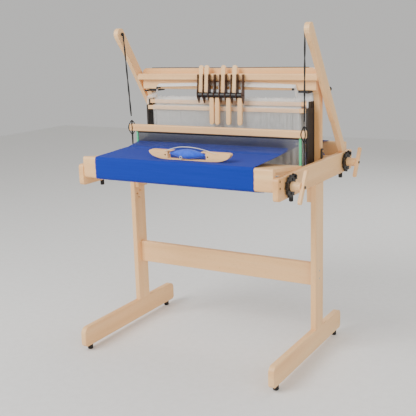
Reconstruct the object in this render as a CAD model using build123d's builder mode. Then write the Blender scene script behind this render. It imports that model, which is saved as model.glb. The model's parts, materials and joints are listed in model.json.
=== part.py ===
from build123d import *
import math
import os

os.makedirs("parts", exist_ok=True)

# ---------------------------------------------------------------- driving dimensions (mm)
# The loom is drawn about its own middle plane X = 0, front towards -Y, floor at Z = 0.
HALF_WIDTH = 430.0        # outer face of a side board
BOARD = 22.0              # thickness of side boards, legs and feet
INNER = HALF_WIDTH - BOARD
FRONT_END = -362.0        # side board ends
REAR_END = 366.0
BOARD_LOW = 682.0
BOARD_TOP = 764.0

BEAM_THICK = 20.0         # breast and back beam, standing on edge
BEAM_LOW = 712.0
BEAM_TOP = 795.0
FRONT_BEAM_Y = -347.0
BACK_BEAM_Y = 351.0

LEG_FRONT = -27.0
LEG_REAR = 50.0
FOOT_FRONT = -414.0
FOOT_REAR = 247.0
FOOT_LOW = 20.0
FOOT_TOP = 100.0
TENON_DEEP = 40.0
CROSS_LOW = 274.0
CROSS_TOP = 365.0
CLEAT_X = INNER - 18.0

POST_IN = 373.0           # castle posts
POST_OUT = 395.0
POST_FRONT = 96.0
POST_REAR = 126.0
CASTLE_Y0 = 58.0          # castle board
CASTLE_Y1 = 78.0
CASTLE_LOW = 1027.0
CASTLE_TOP = 1113.0
RAIL_Y0 = 36.0            # castle front rail
RAIL_LOW = 1066.0
RAIL_TOP = 1092.0

ARM_T = 20.0              # leaning arms
ARM_SLOPE = 0.70          # run forward per rise
ARM_W = 51.0              # horizontal width of the leaning arm
ARM_Y1000 = 91.0          # front edge at Z = 1000
HANG_Y = -62.0            # beater pivot at the arm tips
HANG_Z = 1256.0

LEVERS = 8
LEVER_PITCH = 25.5
LEVER_W = 19.0
LEVER_LONG = 118.0
AXLE_Y = 22.0
AXLE_Z = 1008.0
AXLE_R = 3.0
DRUM_R = 10.75
UP_TILT = -6.0
DOWN_TILT = 178.0
LEVER_UP = (True, True, False, False, True, False, True, False)

SHAFT_Y0 = 40.0
SHAFT_PITCH = 9.0
SHAFT_T = 6.0
SHAFT_X = 370.0
SHAFT_BAR = 16.0
SHAFT_TOP = 959.0
SHAFT_LOW = 657.0
LIFT = 24.0
EYE_LOW = 820.0

REED_X0 = -348.0
REED_X1 = 378.0
REED_END = 8.0
REED_LOW = 738.0
REED_TOP = 867.0
BEATER_X0 = -388.0
BEATER_X1 = 404.0
BEATER_CORDS_X = (-379.0, 398.0)
TOP_RAIL_LOW = 862.0
TOP_RAIL_TOP = 890.0
LOW_RAIL_LOW = 717.0
LOW_RAIL_TOP = 745.0
CORD_R = 3.6

ROLLER_Z = 724.0
CLOTH_ROLLER_Y = -276.0
WARP_ROLLER_Y = 280.0
ROLLER_R = 22.0
SPINDLE_R = 8.0
RUN = 0.05                # radial running clearance
DISC_R = 41.5
DISC_X0 = HALF_WIDTH + 4.0
DISC_X1 = DISC_X0 + 8.0
HANDLE_X0 = DISC_X1 + 36.0
HANDLE_X1 = HANDLE_X0 + 12.0
SCREW_END = HANDLE_X1 + 3.0
HANDLE_TILT = 30.0
HANDLE_LONG = 128.0
HANDLE_WIDE = 17.0

CLOTH_X0 = -350.0
CLOTH_X1 = 336.0
FELL_Y = -150.0
FELL_Z = 806.0
WEB_Z = 796.0

# The shuttle stands on its long curved side, its open face towards the weaver.
SHUTTLE_X = 53.0
SHUTTLE_Y = -310.0
SHUTTLE_HALF = 173.0
SHUTTLE_RIM = 17.0        # half its height as it stands
SHUTTLE_THICK = 22.0
WELL_X0 = -91.0
WELL_X1 = 73.0
WELL_RIM = 14.4
BOBBIN_R = 18.5
BOBBIN_UP = 5.0           # its axis over the shuttle's middle line
OPEN_SIDE = (-70.0, 54.0)  # where the straight side is cut away over the bobbin

MID_X = (SCREW_END - HALF_WIDTH) / 2
MID_Y = (FOOT_FRONT + REAR_END) / 2
ORIGIN = Location((-MID_X, -MID_Y, 0))


# ---------------------------------------------------------------- helpers
def save(builder, name):
    """Move a piece from the drawing position to the final origin and write it."""
    builder.part.label = name
    piece = builder.part.moved(ORIGIN)
    piece.label = name
    export_step(piece, "parts/" + name + ".step")


def add_box(x0, x1, y0, y1, z0, z1, mode=Mode.ADD):
    """A box given by its two corners, in the current part builder."""
    middle = ((x0 + x1) / 2, (y0 + y1) / 2, (z0 + z1) / 2)
    with Locations(middle):
        Box(abs(x1 - x0), abs(y1 - y0), abs(z1 - z0), mode=mode)


def add_rod(x0, x1, y, z, radius, mode=Mode.ADD):
    """A cylinder along X, in the current part builder."""
    with Locations(Location(((x0 + x1) / 2, y, z), (0, 90, 0))):
        Cylinder(radius, abs(x1 - x0), mode=mode)


def side_profile(x0, x1, points, mode=Mode.ADD):
    """A plate between two X planes, its outline given as (y, z) points."""
    with BuildSketch(Plane.YZ.offset(x0)) as outline:
        with BuildLine():
            Polyline(*points, close=True)
        make_face()
    extrude(outline.sketch, amount=x1 - x0, mode=mode)


def add_cord(points, radius):
    """A round cord along a polyline."""
    with BuildLine() as run:
        Polyline(*points)
    start = run.line @ 0
    heading = run.line % 0
    with BuildSketch(Plane(origin=start, z_dir=heading)) as section:
        Circle(radius)
    sweep(section.sketch, path=run.line, transition=Transition.ROUND)


def strip_points(line, half):
    """Closed outline of a thin strip that follows the (y, z) line."""
    left = []
    right = []
    last = len(line) - 1
    for i, (y, z) in enumerate(line):
        ay, az = line[max(i - 1, 0)]
        by, bz = line[min(i + 1, last)]
        size = math.hypot(by - ay, bz - az)
        ny = -(bz - az) / size
        nz = (by - ay) / size
        left.append((y + ny * half, z + nz * half))
        right.append((y - ny * half, z - nz * half))
    return left + right[::-1]


def arc_points(cy, cz, radius, start, end, count):
    """Points on an arc in the (y, z) plane, angles in degrees from +Y."""
    out = []
    for i in range(count + 1):
        a = math.radians(start + (end - start) * i / count)
        out.append((cy + radius * math.cos(a), cz + radius * math.sin(a)))
    return out


# ---------------------------------------------------------------- side boards
LATCH_Y = 111.0
LATCH_Z = 790.0
CATCH_Z = 757.0
LATCH_PIN_R = 2.5
# Each board carries the roller bearings, the beam screws and the bolts of the stand.
BEAM_SCREWS = (
    (FRONT_BEAM_Y, 728.0),
    (FRONT_BEAM_Y, 752.0),
    (BACK_BEAM_Y, 728.0),
    (BACK_BEAM_Y, 752.0),
)
SCREW_R = 2.5
SCREW_HEAD = 4.5
BOLT_R = 4.0
CLEAT_TOP = 703.0          # low enough for the beater to swing over it
CLEAT_BOLTS = ((-8.0, 692.0), (31.0, 692.0), (-8.0, 640.0), (31.0, 640.0))
RAIL_BOLTS = (303.0, 335.0)
PAWL_PIN_R = 3.0
PAWL_OFF_Y = 36.0
PAWL_OFF_Z = 34.0


def board_blank():
    add_box(INNER, HALF_WIDTH, FRONT_END, REAR_END, BOARD_LOW, BOARD_TOP)
    blank = edges().filter_by(Axis.X)
    fillet(blank, radius=12)
    rims = edges().filter_by(GeomType.LINE).filter_by(Axis.Y)
    fillet(rims, radius=2)


def board_holes():
    for y, z in BEAM_SCREWS:
        add_rod(INNER, HALF_WIDTH, y, z, SCREW_R, mode=Mode.SUBTRACT)
        add_rod(HALF_WIDTH - 3, HALF_WIDTH, y, z, SCREW_HEAD, mode=Mode.SUBTRACT)
    for y, z in CLEAT_BOLTS[:2]:
        add_rod(INNER, INNER + 14, y, z, BOLT_R, mode=Mode.SUBTRACT)
    add_rod(INNER, INNER + 10, LATCH_Y, CATCH_Z, 3.0, mode=Mode.SUBTRACT)


with BuildPart() as side_board_right:
    board_blank()
    board_holes()
    for roller_y in (CLOTH_ROLLER_Y, WARP_ROLLER_Y):
        add_rod(INNER, HALF_WIDTH, roller_y, ROLLER_Z, SPINDLE_R + RUN, mode=Mode.SUBTRACT)
        pin_y = roller_y + PAWL_OFF_Y
        pin_z = ROLLER_Z + PAWL_OFF_Z
        add_rod(HALF_WIDTH - 10, HALF_WIDTH, pin_y, pin_z - 4, PAWL_PIN_R, mode=Mode.SUBTRACT)

with BuildPart() as side_board_left:
    board_blank()
    board_holes()
    for roller_y in (CLOTH_ROLLER_Y, WARP_ROLLER_Y):
        add_rod(INNER, INNER + 18, roller_y, ROLLER_Z, SPINDLE_R + RUN, mode=Mode.SUBTRACT)
    mirror(about=Plane.YZ, mode=Mode.REPLACE)

save(side_board_right, "side_board_right")
save(side_board_left, "side_board_left")


# ---------------------------------------------------------------- breast and back beam
def make_beam(y):
    add_box(-INNER, INNER, y - BEAM_THICK / 2, y + BEAM_THICK / 2, BEAM_LOW, BEAM_TOP)
    rims = edges().filter_by(Axis.X)
    fillet(rims, radius=9)
    for end in (-1, 1):
        for screw_y, z in BEAM_SCREWS:
            if abs(screw_y - y) < 1:
                x0 = end * (INNER - 28)
                add_rod(x0, end * INNER, screw_y, z, SCREW_R, mode=Mode.SUBTRACT)


with BuildPart() as front_beam:
    make_beam(FRONT_BEAM_Y)

with BuildPart() as back_beam:
    make_beam(BACK_BEAM_Y)

with BuildPart() as cover_board:
    # slopes down from the beam's rim to just above the side boards
    beam_back = FRONT_BEAM_Y + BEAM_THICK / 2
    side_profile(-INNER, INNER, [(beam_back, 793), (beam_back, 781), (-112, 756), (-112, 768)])
    fillet(edges().filter_by(Axis.X).group_by(Axis.Y)[-1], radius=3)

save(front_beam, "front_beam")
save(back_beam, "back_beam")
save(cover_board, "cover_board")

# beam screws, pawl pins and the latch catch pins
with BuildPart() as frame_screws:
    for end in (-1, 1):
        for y, z in BEAM_SCREWS:
            add_rod(end * (INNER - 28), end * (HALF_WIDTH - 3), y, z, SCREW_R)
            add_rod(end * (HALF_WIDTH - 3), end * HALF_WIDTH, y, z, SCREW_HEAD)
            add_rod(end * (HALF_WIDTH - 1.5), end * HALF_WIDTH, y, z, 1.6, mode=Mode.SUBTRACT)
        add_rod(end * (INNER - 12), end * (INNER + 10), LATCH_Y, CATCH_Z, 3.0)
    for roller_y in (CLOTH_ROLLER_Y, WARP_ROLLER_Y):
        pin_y = roller_y + PAWL_OFF_Y
        pin_z = ROLLER_Z + PAWL_OFF_Z - 4
        add_rod(HALF_WIDTH - 10, DISC_X1 + 0.5, pin_y, pin_z, PAWL_PIN_R)
        add_rod(DISC_X1 + 0.5, DISC_X1 + 3, pin_y, pin_z, 5.5)
save(frame_screws, "frame_screws")

# ---------------------------------------------------------------- floor stand
LEG_MID = (LEG_FRONT + LEG_REAR) / 2

with BuildPart() as leg_right:
    add_box(INNER, HALF_WIDTH, LEG_FRONT, LEG_REAR, FOOT_TOP, BOARD_LOW)
    fillet(edges().filter_by(Axis.Z), radius=3)
    add_box(INNER + 6, HALF_WIDTH - 6, LEG_FRONT + 10, LEG_REAR - 10, FOOT_TOP - TENON_DEEP, FOOT_TOP)
    for z in RAIL_BOLTS:
        add_rod(INNER, HALF_WIDTH, LEG_MID, z, BOLT_R, mode=Mode.SUBTRACT)
    for y, z in CLEAT_BOLTS[2:]:
        add_rod(INNER, INNER + 14, y, z, BOLT_R, mode=Mode.SUBTRACT)
    for y, z in ((13.0, 591.0), (-7.0, 580.0), (4.0, 563.0)):
        add_rod(INNER, INNER + 12, y, z, 4.5, mode=Mode.SUBTRACT)
    add_box(CLEAT_X, INNER, LEG_FRONT + 6, LEG_REAR - 6, 612, CLEAT_TOP)
    for y, z in CLEAT_BOLTS:
        add_rod(CLEAT_X, INNER, y, z, BOLT_R, mode=Mode.SUBTRACT)

with BuildPart() as leg_left:
    add(leg_right.part)
    mirror(about=Plane.YZ, mode=Mode.REPLACE)

with BuildPart() as foot_right:
    add_box(INNER, HALF_WIDTH, FOOT_FRONT, FOOT_REAR, FOOT_LOW, FOOT_TOP)
    fillet(edges().filter_by(Axis.X).group_by(Axis.Z)[-1], radius=26)
    chamfer(edges().filter_by(Axis.X).group_by(Axis.Z)[0], length=9)
    add_box(INNER + 6, HALF_WIDTH - 6, LEG_FRONT + 10, LEG_REAR - 10, FOOT_TOP - TENON_DEEP, FOOT_TOP,
            mode=Mode.SUBTRACT)

with BuildPart() as foot_left:
    add(foot_right.part)
    mirror(about=Plane.YZ, mode=Mode.REPLACE)

with BuildPart() as cross_rail:
    add_box(-INNER, INNER, LEG_MID - 11, LEG_MID + 11, CROSS_LOW, CROSS_TOP)
    fillet(edges().filter_by(Axis.X), radius=3)
    for end in (-1, 1):
        for z in RAIL_BOLTS:
            add_rod(end * (INNER - 45), end * INNER, LEG_MID, z, BOLT_R, mode=Mode.SUBTRACT)

with BuildPart() as stand_bolts:
    for end in (-1, 1):
        for z in RAIL_BOLTS:
            add_rod(end * (INNER - 45), end * HALF_WIDTH, LEG_MID, z, BOLT_R)
        for y, z in CLEAT_BOLTS:
            add_rod(end * CLEAT_X, end * (INNER + 14), y, z, BOLT_R)
            add_rod(end * (CLEAT_X - 3), end * CLEAT_X, y, z, 7.0)

GLIDES_Y = (-374.0, 198.0)
with BuildPart() as glides:
    for x in (-419.0, 419.0):
        for y in GLIDES_Y:
            with Locations((x, y, 0)):
                Cylinder(11, FOOT_LOW, align=(Align.CENTER, Align.CENTER, Align.MIN))
    chamfer(edges().group_by(Axis.Z)[0], length=2)

with BuildPart() as frame_feet:
    for x in (-419.0, 419.0):
        for y in (-232.0, 262.0):
            with Locations((x, y, BOARD_LOW - 22)):
                Cylinder(8, 22, align=(Align.CENTER, Align.CENTER, Align.MIN))
    chamfer(edges().group_by(Axis.Z)[0], length=2)

for piece, name in (
    (leg_right, "leg_right"),
    (leg_left, "leg_left"),
    (foot_right, "foot_right"),
    (foot_left, "foot_left"),
    (cross_rail, "cross_rail"),
    (stand_bolts, "stand_bolts"),
    (glides, "glides"),
    (frame_feet, "frame_feet"),
):
    save(piece, name)

# ---------------------------------------------------------------- castle
with BuildPart() as castle_post_right:
    outline = [(POST_FRONT, 690), (POST_REAR, 690), (POST_REAR, CASTLE_TOP - 6), (CASTLE_Y1, CASTLE_TOP - 6)]
    outline.append((CASTLE_Y1, 1018))
    for i in range(1, 9):
        t = i / 8
        outline.append((CASTLE_Y1 + (POST_FRONT - CASTLE_Y1) * t ** 0.6, 1018 - 78 * t ** 1.6))
    side_profile(POST_IN, POST_OUT, outline)
    # packing block between post and side board
    add_box(POST_OUT, INNER, POST_FRONT, POST_REAR, 692, 738)
    # pivot of the latch
    add_rod(POST_OUT, POST_OUT + 10, LATCH_Y, LATCH_Z, LATCH_PIN_R)

with BuildPart() as castle_post_left:
    add(castle_post_right.part)
    mirror(about=Plane.YZ, mode=Mode.REPLACE)

with BuildPart() as castle_board:
    with BuildSketch(Plane.XZ.offset(-CASTLE_Y0)):
        with Locations((0, (CASTLE_LOW + CASTLE_TOP) / 2)):
            Rectangle(2 * POST_OUT, CASTLE_TOP - CASTLE_LOW)
        top = vertices().group_by(Axis.Y)[-1]
        fillet(top, radius=20)
    extrude(amount=-(CASTLE_Y1 - CASTLE_Y0))
    fillet(edges().filter_by(Axis.X).group_by(Axis.Z)[0], radius=3)

with BuildPart() as castle_rail:
    add_box(-INNER, INNER, RAIL_Y0, CASTLE_Y0, RAIL_LOW, RAIL_TOP)
    fillet(edges().filter_by(Axis.X).group_by(Axis.Y)[0], radius=4)

# n-shaped latches: a plate that turns on the post and hooks a catch pin below
with BuildPart() as latch_right:
    hook = [
        (LATCH_Y - 9, LATCH_Z + 7),
        (LATCH_Y - 5, LATCH_Z + 10),
        (LATCH_Y + 5, LATCH_Z + 10),
        (LATCH_Y + 9, LATCH_Z + 7),
        (LATCH_Y + 9, CATCH_Z + 8),
        (LATCH_Y - 2.4, CATCH_Z + 2.4),
        (LATCH_Y - 3.4, CATCH_Z),
        (LATCH_Y - 2.4, CATCH_Z - 2.4),
        (LATCH_Y, CATCH_Z - 3.4),
        (LATCH_Y + 9, CATCH_Z - 3.0),
        (LATCH_Y + 7, CATCH_Z - 9),
        (LATCH_Y - 9, CATCH_Z - 9),
    ]
    side_profile(POST_OUT + 2, POST_OUT + 6, hook)
    add_rod(POST_OUT + 2, POST_OUT + 6, LATCH_Y, LATCH_Z, LATCH_PIN_R + RUN, mode=Mode.SUBTRACT)

with BuildPart() as latch_left:
    add(latch_right.part)
    mirror(about=Plane.YZ, mode=Mode.REPLACE)

PEG_X = 310.0
PEG_Y0 = 36.0
PEG_Z = 1033.0
# cord guides: black combs below the castle board, where the lift cords turn down
with BuildPart() as cord_guides:
    for end in (-1, 1):
        add_box(end * 322, end * 362, CASTLE_Y0, 112, 1018, CASTLE_LOW)
        add_box(end * 362, end * 373, 34, 112, 1018, 1024)
    fillet(edges().filter_by(Axis.Y).group_by(Axis.Z)[0], radius=1.5)
    # headed pegs in front of the board, which the cords run over
    for end in (-1, 1):
        with Locations(Location((end * PEG_X, (PEG_Y0 + CASTLE_Y0) / 2, PEG_Z), (90, 0, 0))):
            Cylinder(3, CASTLE_Y0 - PEG_Y0)
        with Locations(Location((end * PEG_X, PEG_Y0 - 1, PEG_Z), (90, 0, 0))):
            Cylinder(5, 2)

for piece, name in (
    (castle_post_right, "castle_post_right"),
    (castle_post_left, "castle_post_left"),
    (castle_board, "castle_board"),
    (castle_rail, "castle_rail"),
    (latch_right, "latch_right"),
    (latch_left, "latch_left"),
    (cord_guides, "cord_guides"),
):
    save(piece, name)

# ---------------------------------------------------------------- leaning arms and their knobs
ARM_X0 = INNER
ARM_X1 = INNER + ARM_T
KNOB_Z = 1023.0
LEAN = math.atan(ARM_SLOPE)


def arm_front(z):
    return ARM_Y1000 - ARM_SLOPE * (z - 1000)


KNOB_Y = arm_front(KNOB_Z) + ARM_W
# unit vector out of the rear edge of the arm
OUT_Y = math.cos(LEAN)
OUT_Z = math.sin(LEAN)

with BuildPart() as arm_right:
    shape = [(arm_front(BOARD_TOP) + 7, BOARD_TOP), (arm_front(898) + 7, 898)]
    shape.append((arm_front(906) + 1, 906))
    shape.append((arm_front(916), 916))
    shape.append((arm_front(1190), 1190))
    shape.append((arm_front(1214) - 5, 1214))
    shape.append((arm_front(1240) - 7, 1240))
    tip_y = arm_front(1256) + ARM_W / 2 - 3
    shape.extend(arc_points(tip_y, HANG_Z, 24, 190, 42, 10))
    shape.append((arm_front(1236) + ARM_W, 1236))
    shape.append((arm_front(BOARD_TOP) + ARM_W, BOARD_TOP))
    side_profile(ARM_X0, ARM_X1, shape)
    fillet(edges().filter_by(GeomType.LINE).filter_by(lambda e: e.length > 100), radius=2.5)
    add_rod(ARM_X0, ARM_X0 + 14, HANG_Y, HANG_Z, CORD_R + 0.4, mode=Mode.SUBTRACT)
    # tapped hole of the knob, square to the rear edge
    knob_plane = Plane(
        origin=((ARM_X0 + ARM_X1) / 2, KNOB_Y, KNOB_Z),
        x_dir=(1, 0, 0),
        z_dir=(0, OUT_Y, OUT_Z),
    )
    with BuildSketch(knob_plane):
        Circle(3.0 + RUN)
    extrude(amount=-24, mode=Mode.SUBTRACT)

with BuildPart() as arm_left:
    add(arm_right.part)
    mirror(about=Plane.YZ, mode=Mode.REPLACE)

with BuildPart() as knob_right:
    with BuildSketch(knob_plane.offset(0.3)):
        Circle(6)
    extrude(amount=3)
    with BuildSketch(knob_plane.offset(3.3)):
        Circle(10)
    extrude(amount=11)
    fillet(edges().filter_by(GeomType.CIRCLE).filter_by(lambda e: e.radius > 9), radius=2)
    with BuildSketch(knob_plane.offset(-23)):
        Circle(3.0)
    extrude(amount=23.3)

with BuildPart() as knob_left:
    add(knob_right.part)
    mirror(about=Plane.YZ, mode=Mode.REPLACE)

for piece, name in (
    (arm_right, "arm_right"),
    (arm_left, "arm_left"),
    (knob_right, "knob_right"),
    (knob_left, "knob_left"),
):
    save(piece, name)

# ---------------------------------------------------------------- levers
with BuildPart() as lever_plates:
    plate = [
        (AXLE_Y - 4, 1090),
        (RAIL_Y0, 1090),
        (RAIL_Y0, 996),
        (AXLE_Y + 7, 974),
        (AXLE_Y + 3, 974),
        (AXLE_Y - 12, 1000),
        (AXLE_Y - 13, 1018),
        (AXLE_Y - 8, 1040),
    ]
    for i in range(LEVERS + 1):
        x = (i - LEVERS / 2) * LEVER_PITCH
        side_profile(x - 1, x + 1, plate)
    half = LEVERS / 2 * LEVER_PITCH + 4
    add_rod(-half, half, AXLE_Y, AXLE_Z, AXLE_R)
    # the rod behind the levers that keeps the cords apart from them
    add_rod(-half, half, 33.9, 1061, 1.8)
save(lever_plates, "lever_plates")


def make_lever(x, tilt):
    """Wooden handle on a cord drum, turned about the axle by tilt from straight up."""
    with BuildPart() as lever:
        add_rod(-LEVER_W / 2, LEVER_W / 2, 0, 0, DRUM_R)
        with BuildSketch(Plane.XZ.offset(-4)):
            with Locations((0, LEVER_LONG / 2)):
                Rectangle(LEVER_W, LEVER_LONG)
            tip = vertices().group_by(Axis.Y)[-1]
            fillet(tip, radius=9)
        extrude(amount=8)
        add_rod(-LEVER_W / 2, LEVER_W / 2, 0, 0, AXLE_R + RUN, mode=Mode.SUBTRACT)
    turned = lever.part.rotate(Axis.X, tilt)
    return turned.moved(Location((x, AXLE_Y, AXLE_Z)))


for i in range(LEVERS):
    lever_x = (i - (LEVERS - 1) / 2) * LEVER_PITCH
    lever_tilt = UP_TILT if LEVER_UP[i] else DOWN_TILT
    with BuildPart() as lever_piece:
        add(make_lever(lever_x, lever_tilt))
    save(lever_piece, "lever_" + str(i + 1))

# ---------------------------------------------------------------- shafts with their heddles
for i in range(LEVERS):
    shaft_y = SHAFT_Y0 + i * SHAFT_PITCH
    rise = 0.0 if LEVER_UP[i] else LIFT
    y0 = shaft_y - SHAFT_T / 2
    y1 = shaft_y + SHAFT_T / 2
    top = SHAFT_TOP + rise
    low = SHAFT_LOW + rise
    bar_end = SHAFT_X - 8
    with BuildPart() as shaft_piece:
        add_box(-bar_end, bar_end, y0, y1, top - SHAFT_BAR, top)
        add_box(-bar_end, bar_end, y0, y1, low, low + SHAFT_BAR)
        for end in (-1, 1):
            add_box(end * bar_end, end * SHAFT_X, y0, y1, low - 2, top + 2)
        add_box(-340, 340, shaft_y - 0.5, shaft_y + 0.5, low + SHAFT_BAR, top - SHAFT_BAR)
    save(shaft_piece, "shaft_" + str(i + 1))

# ---------------------------------------------------------------- lift cords
with BuildPart() as lift_cords:
    for i in range(LEVERS):
        x = (i - (LEVERS - 1) / 2) * LEVER_PITCH
        y = SHAFT_Y0 + i * SHAFT_PITCH
        rise = 0.0 if LEVER_UP[i] else LIFT
        layer = 996.5 + 2.4 * i
        lane_y = 39.8 + 2.1 * i
        lane_z = 1044 + 2.1 * i
        for end in (-1, 1):
            start_x = x + end * 2
            add_cord(
                [
                    (start_x, 33.8, 1006),
                    (start_x, 37.6, 1030),
                    (start_x, 37.6, lane_z - 2),
                    (start_x + end * 2, lane_y, lane_z),
                    (end * 314, lane_y, 1038 + 1.5 * i),
                    (end * 322, lane_y, layer),
                    (end * 366, y, layer),
                    (end * 366, y, SHAFT_TOP + rise + 2.5),
                ],
                0.8,
            )
save(lift_cords, "lift_cords")

# ---------------------------------------------------------------- hanging beater
with BuildPart() as beater_top_rail:
    add_box(BEATER_X0, BEATER_X1, HANG_Y - 11, HANG_Y + 11, TOP_RAIL_LOW, TOP_RAIL_TOP)
    fillet(edges().filter_by(Axis.X), radius=4)
    add_box(REED_X0 - REED_END, REED_X1 + REED_END, HANG_Y - 4, HANG_Y + 4, TOP_RAIL_LOW, REED_TOP,
            mode=Mode.SUBTRACT)
    add_box(BEATER_X0, BEATER_X1, HANG_Y - 11, HANG_Y - 10, 875, 876.5, mode=Mode.SUBTRACT)
    for x in BEATER_CORDS_X:
        with Locations((x, HANG_Y, (TOP_RAIL_LOW + TOP_RAIL_TOP) / 2)):
            Cylinder(CORD_R, 40, mode=Mode.SUBTRACT)

with BuildPart() as beater_bottom_rail:
    add_box(BEATER_X0, BEATER_X1, HANG_Y - 18, HANG_Y + 18, LOW_RAIL_LOW, LOW_RAIL_TOP)
    fillet(edges().filter_by(Axis.X), radius=4)
    add_box(REED_X0 - REED_END, REED_X1 + REED_END, HANG_Y - 4, HANG_Y + 4, REED_LOW, LOW_RAIL_TOP,
            mode=Mode.SUBTRACT)
    for x in BEATER_CORDS_X:
        with Locations((x, HANG_Y, (LOW_RAIL_LOW + LOW_RAIL_TOP) / 2)):
            Cylinder(CORD_R, 40, mode=Mode.SUBTRACT)

with BuildPart() as reed:
    add_box(REED_X0, REED_X1, HANG_Y - 3.5, HANG_Y + 3.5, REED_TOP - 12, REED_TOP)
    add_box(REED_X0, REED_X1, HANG_Y - 3.5, HANG_Y + 3.5, REED_LOW, REED_LOW + 12)
    add_box(REED_X0, REED_X1, HANG_Y - 1.5, HANG_Y + 1.5, REED_LOW + 12, REED_TOP - 12)
    add_box(REED_X0 - REED_END, REED_X0, HANG_Y - 4, HANG_Y + 4, REED_LOW, REED_TOP)
    add_box(REED_X1, REED_X1 + REED_END, HANG_Y - 4, HANG_Y + 4, REED_LOW, REED_TOP)

with BuildPart() as beater_cords:
    for end, x in zip((-1, 1), BEATER_CORDS_X):
        add_cord(
            [
                (end * (INNER + 13.5), HANG_Y, HANG_Z),
                (end * (INNER - 7), HANG_Y, HANG_Z),
                (x, HANG_Y, TOP_RAIL_TOP + 20),
                (x, HANG_Y, LOW_RAIL_LOW - 8),
            ],
            CORD_R,
        )
        with Locations((end * (INNER - 8), HANG_Y, HANG_Z)):
            Sphere(6.5)
        with Locations((x, HANG_Y, LOW_RAIL_LOW - 6.0)):
            Cylinder(5.8, 12)

for piece, name in (
    (beater_top_rail, "beater_top_rail"),
    (beater_bottom_rail, "beater_bottom_rail"),
    (reed, "reed"),
    (beater_cords, "beater_cords"),
):
    save(piece, name)

# ---------------------------------------------------------------- rollers, ratchets and handles
TEETH = 12


def make_roller(y, wound_r):
    add_rod(-INNER + 3, INNER - 3, y, ROLLER_Z, ROLLER_R)
    add_rod(-INNER - 17, -INNER + 3, y, ROLLER_Z, SPINDLE_R)
    add_rod(INNER - 3, DISC_X0, y, ROLLER_Z, SPINDLE_R)
    add_rod(CLOTH_X0, CLOTH_X1, y, ROLLER_Z, wound_r)


def make_ratchet(y):
    """Toothed disc with lobed openings."""
    rim = []
    for i in range(TEETH):
        a0 = 360 / TEETH * i
        for part_turn, radius in ((0.0, DISC_R), (0.12, DISC_R), (0.22, DISC_R - 6), (0.9, DISC_R - 6)):
            a = math.radians(a0 + part_turn * 360 / TEETH)
            rim.append((y + radius * math.cos(a), ROLLER_Z + radius * math.sin(a)))
    side_profile(DISC_X0, DISC_X1, rim)
    for i in range(6):
        a = math.radians(60 * i + 15)
        hole_y = y + 25 * math.cos(a)
        hole_z = ROLLER_Z + 25 * math.sin(a)
        add_rod(DISC_X0, DISC_X1, hole_y, hole_z, 5, mode=Mode.SUBTRACT)


def make_handle(y):
    """Round hub and T bar with rounded ends."""
    add_rod(DISC_X1, HANDLE_X0, y, ROLLER_Z, 17)
    bar_plane = Plane(
        origin=(HANDLE_X0, y, ROLLER_Z),
        x_dir=(0, math.sin(math.radians(HANDLE_TILT)), math.cos(math.radians(HANDLE_TILT))),
        z_dir=(1, 0, 0),
    )
    with BuildSketch(bar_plane) as bar:
        SlotOverall(HANDLE_LONG, HANDLE_WIDE)
    extrude(bar.sketch, amount=HANDLE_X1 - HANDLE_X0)
    fillet(faces().sort_by(Axis.X)[-1].edges(), radius=2)
    add_rod(HANDLE_X1, SCREW_END, y, ROLLER_Z, 5)


def make_pawl(y):
    """Pawl on the side board, its nose just clear of the teeth."""
    py = y + PAWL_OFF_Y
    pz = ROLLER_Z + PAWL_OFF_Z - 4
    nose = math.radians(62)
    clear = DISC_R + 0.6
    ny = y + clear * math.cos(nose)
    nz = ROLLER_Z + clear * math.sin(nose)
    body = [
        (py + 8, pz - 3),
        (py + 6, pz + 7),
        (py - 4, pz + 8),
        (ny + 1, nz + 6),
        (ny - 3, nz + 4),
        (ny, nz),
        (ny + 5, nz - 1.4),
        (py - 5, pz - 2),
        (py + 2, pz - 7),
        (py + 12, pz - 13),
        (py + 15, pz - 10),
    ]
    side_profile(DISC_X0 + 1, DISC_X1 - 1, body)
    add_rod(DISC_X0, DISC_X1, py, pz, PAWL_PIN_R + RUN, mode=Mode.SUBTRACT)


with BuildPart() as cloth_roller:
    make_roller(CLOTH_ROLLER_Y, 30.0)
with BuildPart() as warp_roller:
    make_roller(WARP_ROLLER_Y, 31.0)
with BuildPart() as cloth_ratchet:
    make_ratchet(CLOTH_ROLLER_Y)
with BuildPart() as warp_ratchet:
    make_ratchet(WARP_ROLLER_Y)
with BuildPart() as cloth_handle:
    make_handle(CLOTH_ROLLER_Y)
with BuildPart() as warp_handle:
    make_handle(WARP_ROLLER_Y)
with BuildPart() as cloth_pawl:
    make_pawl(CLOTH_ROLLER_Y)
with BuildPart() as warp_pawl:
    make_pawl(WARP_ROLLER_Y)

for piece, name in (
    (cloth_roller, "cloth_roller"),
    (warp_roller, "warp_roller"),
    (cloth_ratchet, "cloth_ratchet"),
    (warp_ratchet, "warp_ratchet"),
    (cloth_handle, "cloth_handle"),
    (warp_handle, "warp_handle"),
    (cloth_pawl, "cloth_pawl"),
    (warp_pawl, "warp_pawl"),
):
    save(piece, name)

# ---------------------------------------------------------------- cloth and warp
# The cloth runs from the fell over the breast beam and under it to the roller.
SKIN = 0.9
OVER = BEAM_THICK / 2 + SKIN
with BuildPart() as cloth:
    path = [(FELL_Y, FELL_Z)]
    path.extend(arc_points(FRONT_BEAM_Y, BEAM_TOP - 9, OVER, 86, 180, 8))
    path.extend(arc_points(FRONT_BEAM_Y, BEAM_LOW + 9, OVER, 180, 262, 8))
    path.append((CLOTH_ROLLER_Y - 3, ROLLER_Z - 31.2))
    side_profile(CLOTH_X0, CLOTH_X1, strip_points(path, 0.6))

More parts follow.
